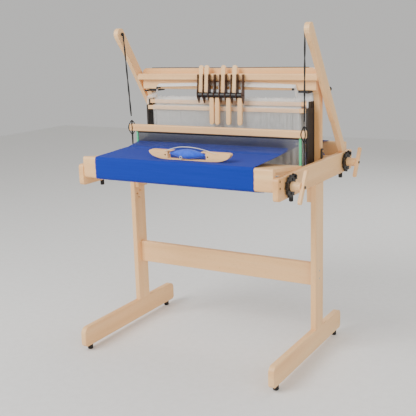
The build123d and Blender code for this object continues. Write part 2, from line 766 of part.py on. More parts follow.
WARP_T = 0.6
BACK_TOP = BEAM_TOP + 1.2
LAST_SHAFT = SHAFT_Y0 + (LEVERS - 1) * SHAFT_PITCH + SHAFT_T / 2
with BuildPart() as warp:
    for eye in (EYE_LOW, EYE_LOW + LIFT):
        reed_z = FELL_Z + (eye - FELL_Z) * (HANG_Y - FELL_Y) / (SHAFT_Y0 - FELL_Y)
        side_profile(CLOTH_X0, CLOTH_X1, strip_points(
            [(FELL_Y + 0.5, FELL_Z), (HANG_Y - 4.5, reed_z)], WARP_T / 2))
        side_profile(CLOTH_X0, CLOTH_X1, strip_points(
            [(HANG_Y + 4.5, reed_z), (SHAFT_Y0 - 5, eye)], WARP_T / 2))
        side_profile(CLOTH_X0, CLOTH_X1, strip_points(
            [(LAST_SHAFT + 2, eye), (BACK_BEAM_Y - 40, BACK_TOP + (eye - BACK_TOP) * 0.17)], WARP_T / 2))
    tail = [(BACK_BEAM_Y - 39, BACK_TOP + 1.5)]
    tail.extend(arc_points(BACK_BEAM_Y, BEAM_TOP - 9, OVER, 94, 0, 8))
    tail.extend(arc_points(BACK_BEAM_Y, BEAM_LOW + 9, OVER, 0, -82, 8))
    tail.append((WARP_ROLLER_Y + 3, ROLLER_Z - 32.2))
    side_profile(CLOTH_X0, CLOTH_X1, strip_points(tail, WARP_T / 2))
save(cloth, "cloth")
save(warp, "warp")

# ---------------------------------------------------------------- shuttle and bobbin
# Drawn lying on its back, x along it, then stood on its curved side on the cloth.
WEB_SLOPE = (FELL_Z - WEB_Z - 0.5) / (FELL_Y - FRONT_BEAM_Y)
WEB_TILT = math.atan(WEB_SLOPE)
WEB_AT = WEB_Z + 0.5 + WEB_SLOPE * (SHUTTLE_Y - FRONT_BEAM_Y)
PIN_Z = SHUTTLE_THICK / 2
PIN_R = 2.0
AXIS_Y = SHUTTLE_Y - SHUTTLE_RIM * math.sin(WEB_TILT)
AXIS_Z = WEB_AT + 1.2 + SHUTTLE_RIM * math.cos(WEB_TILT)
SHUTTLE_REST = Location(
    (SHUTTLE_X, AXIS_Y + PIN_Z * math.cos(WEB_TILT), AXIS_Z + PIN_Z * math.sin(WEB_TILT)),
    (90 + math.degrees(WEB_TILT), 0, 0),
)

with BuildPart() as shuttle_local:
    with BuildSketch() as plan:
        with BuildLine():
            flat = 92
            bow = ((123, -15.0), (143, -10.5), (163, -2))
            Line((-flat, -SHUTTLE_RIM), (flat, -SHUTTLE_RIM))
            Spline((flat, -SHUTTLE_RIM), *bow, (SHUTTLE_HALF, 9))
            Spline((SHUTTLE_HALF, 9), (170, 14.8), (160, SHUTTLE_RIM))
            Line((160, SHUTTLE_RIM), (-160, SHUTTLE_RIM))
            Spline((-160, SHUTTLE_RIM), (-170, 14.8), (-SHUTTLE_HALF, 9))
            Spline((-SHUTTLE_HALF, 9), *((-x, y) for x, y in bow[::-1]), (-flat, -SHUTTLE_RIM))
        make_face()
    extrude(plan.sketch, amount=SHUTTLE_THICK)
    # open well for the bobbin, right through
    add_box(WELL_X0, WELL_X1, -WELL_RIM, WELL_RIM, -1, SHUTTLE_THICK + 1, mode=Mode.SUBTRACT)
    add_box(*OPEN_SIDE, 0, SHUTTLE_RIM + 1, -1, SHUTTLE_THICK + 1, mode=Mode.SUBTRACT)
    for x in (WELL_X0 - 10, WELL_X1 + 7):
        with Locations((x, 0, SHUTTLE_THICK - 3)):
            Cylinder(2.6, 6, mode=Mode.SUBTRACT)
    add_rod(WELL_X0 - 2, WELL_X1 + 2, BOBBIN_UP, PIN_Z, PIN_R)
    # springy wire that bows out past the straight side
    add_cord(
        [
            (-97, 14, 18),
            (-97, 14.5, 24.5),
            (-68, 25, 24.5),
            (-30, 33, 24.5),
            (20, 33.5, 24.5),
            (72, 26, 24.5),
            (116, 14, 24.5),
            (116, 13.5, 18),
        ],
        1.0,
    )

with BuildPart() as bobbin_local:
    with BuildSketch() as half_section:
        with BuildLine():
            mid_x = (WELL_X0 + WELL_X1) / 2
            bore = PIN_R + RUN
            Polyline((mid_x - 75, 3.5), (mid_x - 79, 3.5), (mid_x - 79, bore), (mid_x + 79, bore),
                     (mid_x + 79, 3.5), (mid_x + 75, 3.5))
            Spline((mid_x + 75, 3.5), (mid_x + 58, 7.2), (mid_x + 32, 14.6), (mid_x, BOBBIN_R),
                   (mid_x - 32, 14.6), (mid_x - 58, 7.2), (mid_x - 75, 3.5))
        make_face()
    revolve(half_section.sketch, axis=Axis.X)

with BuildPart() as shuttle:
    add(shuttle_local.part.moved(SHUTTLE_REST))
with BuildPart() as bobbin:
    add(bobbin_local.part.moved(Location((0, BOBBIN_UP, PIN_Z))).moved(SHUTTLE_REST))
save(shuttle, "shuttle")
save(bobbin, "bobbin")

print("origin shift", MID_X, MID_Y, "bobbin axis",
      AXIS_Y + BOBBIN_UP * math.sin(WEB_TILT) * -1, AXIS_Z + BOBBIN_UP * math.cos(WEB_TILT))
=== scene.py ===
import json
import math
import random

import bpy
from mathutils import Matrix, Vector


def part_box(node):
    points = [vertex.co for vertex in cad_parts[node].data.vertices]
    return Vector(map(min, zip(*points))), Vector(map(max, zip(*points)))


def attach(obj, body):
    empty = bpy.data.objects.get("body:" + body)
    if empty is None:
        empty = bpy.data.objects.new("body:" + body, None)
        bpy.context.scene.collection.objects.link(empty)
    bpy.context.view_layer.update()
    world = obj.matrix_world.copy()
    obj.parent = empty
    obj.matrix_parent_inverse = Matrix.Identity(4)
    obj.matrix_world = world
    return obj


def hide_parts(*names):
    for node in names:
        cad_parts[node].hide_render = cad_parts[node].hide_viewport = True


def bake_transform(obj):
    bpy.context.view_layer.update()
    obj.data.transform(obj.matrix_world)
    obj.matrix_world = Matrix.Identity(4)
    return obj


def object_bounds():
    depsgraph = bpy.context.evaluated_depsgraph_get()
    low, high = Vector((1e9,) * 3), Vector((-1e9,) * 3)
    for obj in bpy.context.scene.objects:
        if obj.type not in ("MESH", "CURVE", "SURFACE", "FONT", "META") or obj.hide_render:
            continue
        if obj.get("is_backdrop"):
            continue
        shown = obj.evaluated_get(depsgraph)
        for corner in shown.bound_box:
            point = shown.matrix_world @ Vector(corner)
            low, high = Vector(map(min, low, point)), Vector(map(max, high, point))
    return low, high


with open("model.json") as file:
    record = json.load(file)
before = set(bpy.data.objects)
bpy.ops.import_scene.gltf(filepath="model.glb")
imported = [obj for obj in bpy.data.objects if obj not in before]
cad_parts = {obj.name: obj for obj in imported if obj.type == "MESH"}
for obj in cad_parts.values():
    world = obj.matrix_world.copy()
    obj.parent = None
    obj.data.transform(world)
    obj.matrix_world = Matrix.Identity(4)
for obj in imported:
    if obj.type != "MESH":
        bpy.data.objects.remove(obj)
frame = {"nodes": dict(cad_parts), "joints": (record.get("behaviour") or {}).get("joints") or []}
CAD_LO, CAD_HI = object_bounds()
CAD_LO, CAD_HI = CAD_LO.copy(), CAD_HI.copy()
ROOT = "frame"
MM = 0.001
random.seed(7)


# ------------------------------------------------------------------ materials
def srgb(r, g, b):
    """An 8-bit screen colour as Blender's linear colour."""
    def linear(c):
        c /= 255
        return c / 12.92 if c <= 0.04045 else ((c + 0.055) / 1.055) ** 2.4
    return (linear(r), linear(g), linear(b), 1.0)


class Nodes:
    """A short way to write a material's node tree."""

    def __init__(self, name):
        self.mat = bpy.data.materials.new(name)
        self.mat.use_nodes = True
        self.tree = self.mat.node_tree
        self.bsdf = self.tree.nodes["Principled BSDF"]

    def add(self, kind, **values):
        node = self.tree.nodes.new("ShaderNode" + kind)
        for key, value in values.items():
            if hasattr(node, key):
                setattr(node, key, value)
            else:
                node.inputs[key].default_value = value
        return node

    def link(self, a, b):
        self.tree.links.new(a, b)

    def coords(self, scale=(1, 1, 1), turn=(0, 0, 0), shift=(0, 0, 0)):
        """The piece's own coordinates, turned first and then scaled."""
        source = self.add("TexCoord")
        first = self.add("Mapping")
        first.inputs["Rotation"].default_value = turn
        second = self.add("Mapping")
        second.inputs["Scale"].default_value = scale
        second.inputs["Location"].default_value = shift
        self.link(source.outputs["Object"], first.inputs["Vector"])
        self.link(first.outputs["Vector"], second.inputs["Vector"])
        return second.outputs["Vector"]

    def noise(self, vector, scale, detail=4.0, rough=0.55, distortion=0.0):
        node = self.add("TexNoise")
        node.inputs["Scale"].default_value = scale
        node.inputs["Detail"].default_value = detail
        node.inputs["Roughness"].default_value = rough
        node.inputs["Distortion"].default_value = distortion
        self.link(vector, node.inputs["Vector"])
        return node.outputs["Fac"]

    def ramp(self, factor, stops):
        node = self.add("ValToRGB")
        while len(node.color_ramp.elements) < len(stops):
            node.color_ramp.elements.new(0.5)
        for element, (place, colour) in zip(node.color_ramp.elements, stops):
            element.position = place
            element.color = colour
        self.link(factor, node.inputs["Fac"])
        return node.outputs["Color"]

    def mix(self, factor, a, b, blend="MIX"):
        node = self.add("Mix", data_type="RGBA", blend_type=blend)
        colour_in = [s for s in node.inputs if s.type == "RGBA"]
        for socket, value in ((node.inputs["Factor"], factor), (colour_in[0], a), (colour_in[1], b)):
            if isinstance(value, (int, float, tuple)):
                socket.default_value = value
            else:
                self.link(value, socket)
        return [s for s in node.outputs if s.type == "RGBA"][0]

    def math(self, operation, a, b=0.0):
        node = self.add("Math", operation=operation)
        for socket, value in ((node.inputs[0], a), (node.inputs[1], b)):
            if isinstance(value, (int, float)):
                socket.default_value = value
            else:
                self.link(value, socket)
        return node.outputs[0]

    def bump(self, height, strength, distance):
        node = self.add("Bump")
        node.inputs["Strength"].default_value = strength
        node.inputs["Distance"].default_value = distance
        self.link(height, node.inputs["Height"])
        self.link(node.outputs["Normal"], self.bsdf.inputs["Normal"])

    def spread(self, factor, low, high):
        node = self.add("MapRange")
        node.inputs["To Min"].default_value = low
        node.inputs["To Max"].default_value = high
        self.link(factor, node.inputs["Value"])
        return node.outputs["Result"]


WOOD_LIGHT = srgb(255, 212, 156)
WOOD_MID = srgb(250, 198, 136)
WOOD_DARK = srgb(230, 170, 106)
WOOD_FLECK = srgb(186, 128, 74)


def wood(name, grain="X", seed=0.0, lean=0.0, dark_mask=None):
    """Oiled beech: soft growth bands, fine fibres and small dark flecks along the grain."""
    n = Nodes(name)
    turn = {"X": (0, 0, 0), "Y": (0, 0, math.pi / 2), "Z": (0, math.pi / 2, 0)}[grain]
    if lean:
        turn = (lean, 0, 0)
    long_axis = 2 if lean else 0

    def stretched(along, across):
        scale = [across] * 3
        scale[long_axis] = along
        return n.coords(tuple(scale), turn, (seed * 3.1, seed * 1.7, seed * 2.3))

    bands = n.noise(stretched(1.1, 16), 1.0, 3, 0.5, 0.6)
    fibres = n.noise(stretched(9, 420), 1.0, 3, 0.6)
    flecks = n.noise(stretched(60, 620), 1.0, 2, 0.5)
    colour = n.ramp(bands, [(0.3, WOOD_LIGHT), (0.52, WOOD_MID), (0.72, WOOD_DARK)])
    colour = n.mix(n.spread(fibres, 0.0, 0.28), colour, WOOD_DARK)
    fleck = n.ramp(flecks, [(0.63, (0, 0, 0, 1)), (0.7, (1, 1, 1, 1))])
    colour = n.mix(n.math("MULTIPLY", fleck, 0.5), colour, WOOD_FLECK)
    edge = n.add("NewGeometry").outputs["Pointiness"]
    worn = n.ramp(edge, [(0.52, (0, 0, 0, 1)), (0.58, (1, 1, 1, 1))])
    colour = n.mix(n.math("MULTIPLY", worn, 0.25), colour, WOOD_LIGHT)
    roughness = n.spread(fibres, 0.36, 0.56)
    height = n.math("ADD", n.math("MULTIPLY", fibres, 0.7), n.math("MULTIPLY", bands, 0.3))
    if dark_mask is not None:
        colour = n.mix(dark_mask(n), colour, srgb(32, 28, 26))
    n.link(colour, n.bsdf.inputs["Base Color"])
    n.link(roughness, n.bsdf.inputs["Roughness"])
    n.bump(height, 0.35, 0.0004)
    n.bsdf.inputs["Coat Weight"].default_value = 0.12
    n.bsdf.inputs["Coat Roughness"].default_value = 0.35
    return n.mat


def plastic(name, colour, rough=0.42, grain=900.0):
    """Moulded plastic with a fine spark-eroded grain and slight handling marks."""
    n = Nodes(name)
    fine = n.noise(n.coords(), grain, 2, 0.5)
    marks = n.noise(n.coords(), 34, 4, 0.6)
    rubbed = tuple(min(1, c * 1.9 + 0.01) for c in colour[:3]) + (1,)
    tone = n.mix(n.spread(marks, 0.0, 0.5), colour, rubbed)
    n.link(tone, n.bsdf.inputs["Base Color"])
    n.link(n.spread(marks, rough - 0.08, rough + 0.14), n.bsdf.inputs["Roughness"])
    n.bump(fine, 0.3, 0.0002)
    return n.mat


def metal(name, colour, rough=0.3, brushed=(40, 900, 900)):
    """Steel with brushed streaks and small stains."""
    n = Nodes(name)
    streaks = n.noise(n.coords(brushed), 1.0, 3, 0.6)
    stains = n.noise(n.coords(), 60, 4, 0.6)
    n.link(n.mix(n.spread(stains, 0.0, 0.35), colour, tuple(c * 0.55 for c in colour[:3]) + (1,)),
           n.bsdf.inputs["Base Color"])
    n.link(n.spread(streaks, rough - 0.08, rough + 0.18), n.bsdf.inputs["Roughness"])
    n.bump(streaks, 0.25, 0.0001)
    n.bsdf.inputs["Metallic"].default_value = 1.0
    return n.mat


def rubber(name):
    n = Nodes(name)
    dust = n.noise(n.coords(), 120, 5, 0.65)
    colour = n.mix(n.spread(dust, 0.0, 0.4), srgb(24, 24, 25), srgb(62, 60, 58))
    n.link(colour, n.bsdf.inputs["Base Color"])
    n.bump(n.noise(n.coords(), 700, 3), 0.4, 0.0003)
    n.bsdf.inputs["Roughness"].default_value = 0.82
    return n.mat


def braid(name, dark, light, pitch=1500.0):
    """A braided cord: crossing diagonal strands."""
    n = Nodes(name)
    waves = []
    for lean in (0.7, -0.7):
        wave = n.add("TexWave", wave_type="BANDS", bands_direction="DIAGONAL")
        wave.inputs["Scale"].default_value = pitch / 6
        wave.inputs["Distortion"].default_value = 0.4
        n.link(n.coords((1, 1, 1), (lean, lean, 0)), wave.inputs["Vector"])
        waves.append(wave.outputs["Fac"])
    strands = n.math("MULTIPLY", waves[0], waves[1])
    n.link(n.mix(strands, dark, light), n.bsdf.inputs["Base Color"])
    n.bump(strands, 0.6, 0.0004)
    n.bsdf.inputs["Roughness"].default_value = 0.78
    return n.mat


def yarn(name, dark, light, twist=900.0):
    """Cotton thread: fine twist and fuzz."""
    n = Nodes(name)
    fuzz = n.noise(n.coords(), twist, 3, 0.6)
    slub = n.noise(n.coords(), 45, 4, 0.6)
    both = n.math("MULTIPLY", n.math("ADD", fuzz, slub), 0.5)
    n.link(n.ramp(both, [(0.35, dark), (0.65, light)]), n.bsdf.inputs["Base Color"])
    n.bump(fuzz, 0.5, 0.0003)
    n.bsdf.inputs["Roughness"].default_value = 0.85
    n.bsdf.inputs["Sheen Weight"].default_value = 0.25
    return n.mat


def woven(name, weft, warp, deep, pitch=1.5 * MM):
    """Plain weave: weft threads along X over warp threads along the web, with slubs and soft bars."""
    n = Nodes(name)
    plain = n.coords()
    split = n.add("SeparateXYZ")
    n.link(plain, split.inputs["Vector"])
    run = n.math("SUBTRACT", split.outputs["Y"], split.outputs["Z"])

    def threads(value):
        return n.math("SINE", n.math("MULTIPLY", value, 2 * math.pi / pitch))

    across, along = threads(split.outputs["X"]), threads(run)
    check = n.math("MULTIPLY", across, along)
    cell = n.spread(check, 0.0, 1.0)
    cell.node.inputs["From Min"].default_value = -1.0
    slubs = n.noise(n.coords((6, 260, 260)), 1.0, 4, 0.6)
    bars = n.noise(n.coords((0.6, 26, 26)), 1.0, 3, 0.6)
    colour = n.mix(cell, warp, weft)
    colour = n.mix(n.spread(slubs, 0.0, 0.55), colour, deep)
    colour = n.mix(n.spread(bars, 0.0, 0.28), colour, weft)
    n.link(colour, n.bsdf.inputs["Base Color"])
    height = n.math("ADD", n.math("MULTIPLY", cell, 0.6), n.math("MULTIPLY", slubs, 0.6))
    n.bump(height, 0.55, 0.0005)
    n.link(n.spread(slubs, 0.72, 0.9), n.bsdf.inputs["Roughness"])
    n.bsdf.inputs["Sheen Weight"].default_value = 0.06
    n.bsdf.inputs["Sheen Roughness"].default_value = 0.4
    n.bsdf.inputs["Specular IOR Level"].default_value = 0.2
    return n.mat


BLACK = srgb(26, 25, 25)
M_PLASTIC = plastic("black_plastic", BLACK)
M_STEEL_BLACK = plastic("black_enamel", srgb(40, 34, 30), 0.34, 1400)
M_STEEL_BROWN = plastic("brown_enamel", srgb(74, 48, 32), 0.3, 1400)
M_SCREW = metal("dark_screw", srgb(70, 66, 62), 0.35)
M_ZINC = metal("zinc", srgb(190, 190, 188), 0.34)
M_REED = metal("reed_steel", srgb(176, 180, 182), 0.3, (900, 900, 30))
M_RUBBER = rubber("rubber")
M_ELASTIC = braid("elastic_braid", srgb(14, 14, 15), srgb(66, 64, 62))
M_STRING = yarn("white_string", srgb(238, 238, 234), srgb(255, 255, 253))
M_WARP = yarn("blue_warp", srgb(22, 44, 136), srgb(40, 70, 184))
M_CLOTH = woven("blue_cloth", srgb(30, 62, 178), srgb(18, 42, 146), srgb(12, 30, 112))
M_GREEN = plastic("green_end", srgb(66, 190, 132), 0.4)
M_BOBBIN = yarn("bobbin_yarn", srgb(14, 52, 190), srgb(44, 104, 240), 700)
M_PALE = plastic("pale_plastic", srgb(214, 206, 188), 0.4)


# ------------------------------------------------------------------ mesh helpers
def piece(name, verts, faces, mat, body=None, slot=None, smooth=True):
    """A new mesh object, which rides on its body when one is given."""
    mesh = bpy.data.meshes.new(name)
    mesh.from_pydata([tuple(v) for v in verts], [], faces)
    mesh.validate()
    mesh.update()
    mesh.polygons.foreach_set("use_smooth", [smooth] * len(mesh.polygons))
    obj = bpy.data.objects.new(name, mesh)
    bpy.context.scene.collection.objects.link(obj)
    obj.data.materials.append(mat)
    if body:
        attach(obj, body)
    return obj


def bevelled(obj, width=0.8 * MM, segments=3):
    """The object with its sharp edges rounded."""
    mod = obj.modifiers.new("soft_edges", "BEVEL")
    mod.width = width
    mod.segments = segments
    mod.limit_method = "ANGLE"
    mod.harden_normals = True
    return obj


def box_data(lo, hi):
    """A box between two corners."""
    xs, ys, zs = zip(lo, hi)
    verts = [(x, y, z) for x in xs for y in ys for z in zs]
    faces = [(0, 1, 3, 2), (4, 6, 7, 5), (0, 4, 5, 1), (2, 3, 7, 6), (0, 2, 6, 4), (1, 5, 7, 3)]
    return verts, faces


def joined(parts):
    """One mesh's data from several."""
    verts, faces = [], []
    for v, f in parts:
        base = len(verts)
        verts.extend(v)
        faces.extend([tuple(i + base for i in face) for face in f])
    return verts, faces


def tube(points, radius, sides=6, closed=False):
    """A round thread through the points, ends capped."""
    points = [Vector(p) for p in points]
    count = len(points)
    verts, faces = [], []
    side = None
    for i, p in enumerate(points):
        before = points[(i - 1) % count] if closed else points[max(i - 1, 0)]
        after = points[(i + 1) % count] if closed else points[min(i + 1, count - 1)]
        along = (after - before).normalized()
        if side is None:
            side = along.orthogonal().normalized()
        side = (side - along * side.dot(along)).normalized()
        up = along.cross(side)
        for k in range(sides):
            a = 2 * math.pi * k / sides
            verts.append(p + (side * math.cos(a) + up * math.sin(a)) * radius)
    rings = count if closed else count - 1
    for i in range(rings):
        for k in range(sides):
            j, m = (i + 1) % count, (k + 1) % sides
            faces.append((i * sides + k, i * sides + m, j * sides + m, j * sides + k))
    if not closed:
        faces.append(tuple(range(sides))[::-1])
        faces.append(tuple((count - 1) * sides + k for k in range(sides)))
    return verts, faces


def lathe_x(profile, y, z, sides=48):
    """A turned piece about an axis along X: profile is (x, radius) from end to end."""
    verts, faces = [], []
    for x, r in profile:
        for k in range(sides):
            a = 2 * math.pi * k / sides
            verts.append((x, y + r * math.cos(a), z + r * math.sin(a)))
    for i in range(len(profile) - 1):
        for k in range(sides):
            m = (k + 1) % sides
            faces.append((i * sides + k, (i + 1) * sides + k, (i + 1) * sides + m, i * sides + m))
    faces.append(tuple(range(sides)))
    faces.append(tuple((len(profile) - 1) * sides + k for k in range(sides))[::-1])
    return verts, faces


def paint(node, mat):
    """A CAD node carried over as it is, in a better material."""
    obj = frame["nodes"][node]
    obj.data.materials.clear()
    obj.data.materials.append(mat)
    return obj


# ------------------------------------------------------------------ carried-over CAD nodes
LEAN = math.atan(0.70)


def longest(node):
    """The letter of the node's longest side, which its grain follows."""
    lo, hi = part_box(node)
    size = hi - lo
    return "XYZ"[max(range(3), key=lambda i: size[i])]


WOODEN = (
    "side_board_left side_board_right front_beam back_beam cover_board leg_left leg_right foot_left"
    " foot_right cross_rail castle_post_left castle_post_right castle_board castle_rail"
    " beater_top_rail beater_bottom_rail"
).split()
for number, node in enumerate(WOODEN):
    paint(node, wood("beech_" + node, longest(node), number * 1.37))
for number, node in enumerate(("arm_left", "arm_right")):
    paint(node, wood("beech_" + node, "Z", 30 + number * 2.1, lean=-LEAN))


def drum_mask(centre):
    """Dark where the drum is, round the axle."""
    def build(n):
        split = n.add("SeparateXYZ")
        n.link(n.add("TexCoord").outputs["Object"], split.inputs["Vector"])
        dy = n.math("SUBTRACT", split.outputs["Y"], centre.y)
        dz = n.math("SUBTRACT", split.outputs["Z"], centre.z)
        far = n.math("SQRT", n.math("ADD", n.math("MULTIPLY", dy, dy), n.math("MULTIPLY", dz, dz)))
        return n.math("LESS_THAN", far, 11.3 * MM)
    return build


joint_at = {j["name"]: Vector(j["pos_m"]) for j in frame["joints"] if j.get("pos_m")}
LEVER_COUNT = 8
for i in range(1, LEVER_COUNT + 1):
    axle = joint_at[f"lever_{i}_turn"]
    paint(f"lever_{i}", wood(f"beech_lever_{i}", "Z", 40 + i * 1.9, dark_mask=drum_mask(axle)))


def past_x(limit):
    """Dark where X is past the limit: the screw in the handle's end."""
    def build(n):
        split = n.add("SeparateXYZ")
        n.link(n.add("TexCoord").outputs["Object"], split.inputs["Vector"])
        return n.math("GREATER_THAN", split.outputs["X"], limit)
    return build


for number, node in enumerate(("cloth_handle", "warp_handle")):
    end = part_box(node)[1].x
    paint(node, wood("beech_" + node, "Z", 60 + number * 2.7, dark_mask=past_x(end - 2.9 * MM)))
for node in "cloth_ratchet warp_ratchet cloth_pawl warp_pawl knob_left knob_right cord_guides".split():
    paint(node, M_PLASTIC)
for node in "latch_left latch_right".split():
    paint(node, M_STEEL_BLACK)
paint("lever_plates", M_STEEL_BROWN)
paint("frame_screws", M_SCREW)
paint("stand_bolts", M_ZINC)
for node in ("glides", "frame_feet"):
    paint(node, M_RUBBER)

# ------------------------------------------------------------------ shafts: bars, side bars and heddles
SHAFT_PARTS = 8 * MM        # width of the black side bars
BAR = 16 * MM
HEDDLES = 200
EYE_UP = 163 * MM         # from the low bar's underside to the eyes
M_BARS = wood("beech_shaft_bars", "X", 75)


def heddle(x, y, low, high, eye, raised):
    """Two strands from bar to bar that part round the eye, and loops over both bars."""
    lean = random.uniform(-0.6, 0.6) * MM
    loop = random.uniform(4.0, 15.0) * MM if raised else random.uniform(1.5, 5.0) * MM
    over = 3.75 * MM if raised else 3.55 * MM
    parts = []
    for side in (-1, 1):
        gap = 0.5 * MM * side
        parts.append(tube(
            [
                (x + gap, y + 0.9 * MM * side, high + BAR + loop),
                (x + gap, y + (over - 0.2 * MM) * side, high + BAR * 0.9),
                (x + gap, y + over * side, high + BAR * 0.5),
                (x + gap, y + (over - 0.2 * MM) * side, high),
                (x + gap * 0.6 + lean, y + 0.5 * MM * side, high - 8 * MM),
                (x + gap * 0.4 + lean, y + 0.3 * MM * side, eye + 7 * MM),
                (x + gap * 2.4 + lean, y + 0.3 * MM * side, eye),
                (x + gap * 0.4 + lean, y + 0.3 * MM * side, eye - 7 * MM),
                (x + gap * 0.6 + lean, y + 0.5 * MM * side, low + BAR + 8 * MM),
                (x + gap, y + 3.4 * MM * side, low + BAR),
                (x + gap, y + 3.4 * MM * side, low + 1 * MM),
            ],
            0.65 * MM if raised else 0.5 * MM, 4))
    return parts


lowest = min(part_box(f"shaft_{i}")[0].z for i in range(1, LEVER_COUNT + 1))
for i in range(1, LEVER_COUNT + 1):
    lo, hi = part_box(f"shaft_{i}")
    body = f"shaft_body_{i}"
    mid = (lo.y + hi.y) / 2
    low, high = lo.z + 2 * MM, hi.z - 2 * MM - BAR
    eye = low + EYE_UP
    wooden = []
    for z in (low, high):
        wooden.append(box_data((lo.x + SHAFT_PARTS, lo.y, z), (hi.x - SHAFT_PARTS, hi.y, z + BAR)))
    bars = piece(f"shaft_bars_{i}", *joined(wooden), M_BARS, body, "beech", smooth=False)
    bevelled(bars, 1.2 * MM)
    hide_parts(f"shaft_{i}")
    sides = []
    for x0, x1 in ((lo.x, lo.x + SHAFT_PARTS), (hi.x - SHAFT_PARTS, hi.x)):
        sides.append(box_data((x0, lo.y, lo.z), (x1, hi.y, hi.z)))
    bevelled(piece(f"shaft_sides_{i}", *joined(sides), M_STEEL_BLACK, body, "black_steel",
                   smooth=False))
    strings = []
    first, last = lo.x + 34 * MM, hi.x - 34 * MM
    for k in range(HEDDLES):
        x = first + (last - first) * (k + 0.12 * i) / HEDDLES
        strings.extend(heddle(x, mid, low, high, eye, lo.z > lowest + 10 * MM))
    piece(f"heddles_{i}", *joined(strings), M_STRING, body, "string")

# ------------------------------------------------------------------ reed
lo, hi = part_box("reed")
REED_MID = (lo.y + hi.y) / 2
END_BAR = 8 * MM
BAULK = 12 * MM
parts = []
DENTS = 250
for k in range(DENTS):
    x = lo.x + END_BAR + (hi.x - lo.x - 2 * END_BAR) * (k + 0.5) / DENTS
    parts.append(box_data((x - 0.25 * MM, REED_MID - 1.5 * MM, lo.z + BAULK),
                          (x + 0.25 * MM, REED_MID + 1.5 * MM, hi.z - BAULK)))
dents = piece("reed_dents", *joined(parts), M_REED, "beater", "reed_steel", smooth=False)
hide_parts("reed")
parts = []
for z0, z1 in ((lo.z, lo.z + BAULK), (hi.z - BAULK, hi.z)):
    parts.append(box_data((lo.x + END_BAR, REED_MID - 3.5 * MM, z0),
                          (hi.x - END_BAR, REED_MID + 3.5 * MM, z1)))
baulks = piece("reed_baulks", *joined(parts), M_PLASTIC, "beater", "black_plastic", smooth=False)
bevelled(baulks, 2 * MM)
parts = []
for x0, x1 in ((lo.x, lo.x + END_BAR), (hi.x - END_BAR, hi.x)):
    parts.append(box_data((x0, lo.y, lo.z), (x1, hi.y, hi.z)))
ends = piece("reed_ends", *joined(parts), M_GREEN, "beater", "reed_steel", smooth=False)
bevelled(ends, 1.5 * MM)

# ------------------------------------------------------------------ elastic cords that hold the beater
def smooth(points, steps=8):
    """Points along a smooth line through the given ones."""
    points = [Vector(p) for p in points]
    ends = [points[0] * 2 - points[1]] + points + [points[-1] * 2 - points[-2]]
    out = []
    for a, b, c, d in zip(ends, ends[1:], ends[2:], ends[3:]):
        for k in range(steps):
            t = k / steps
            out.append(0.5 * (2 * b + (c - a) * t + (2 * a - 5 * b + 4 * c - d) * t * t
                              + (3 * b - a - 3 * c + d) * t ** 3))
    return out + [points[-1]]


def twisted(line, apart, pitch, phase):
    """The line moved round itself, as one strand of a pair."""
    out, run = [], 0.0
    for i, p in enumerate(line):
        along = (line[min(i + 1, len(line) - 1)] - line[max(i - 1, 0)]).normalized()
        side = along.cross(Vector((0, 1, 0))).normalized()
        up = side.cross(along)
        if i:
            run += (p - line[i - 1]).length
        a = phase + 2 * math.pi * run / pitch
        out.append(p + (side * math.cos(a) + up * math.sin(a)) * apart)
    return out


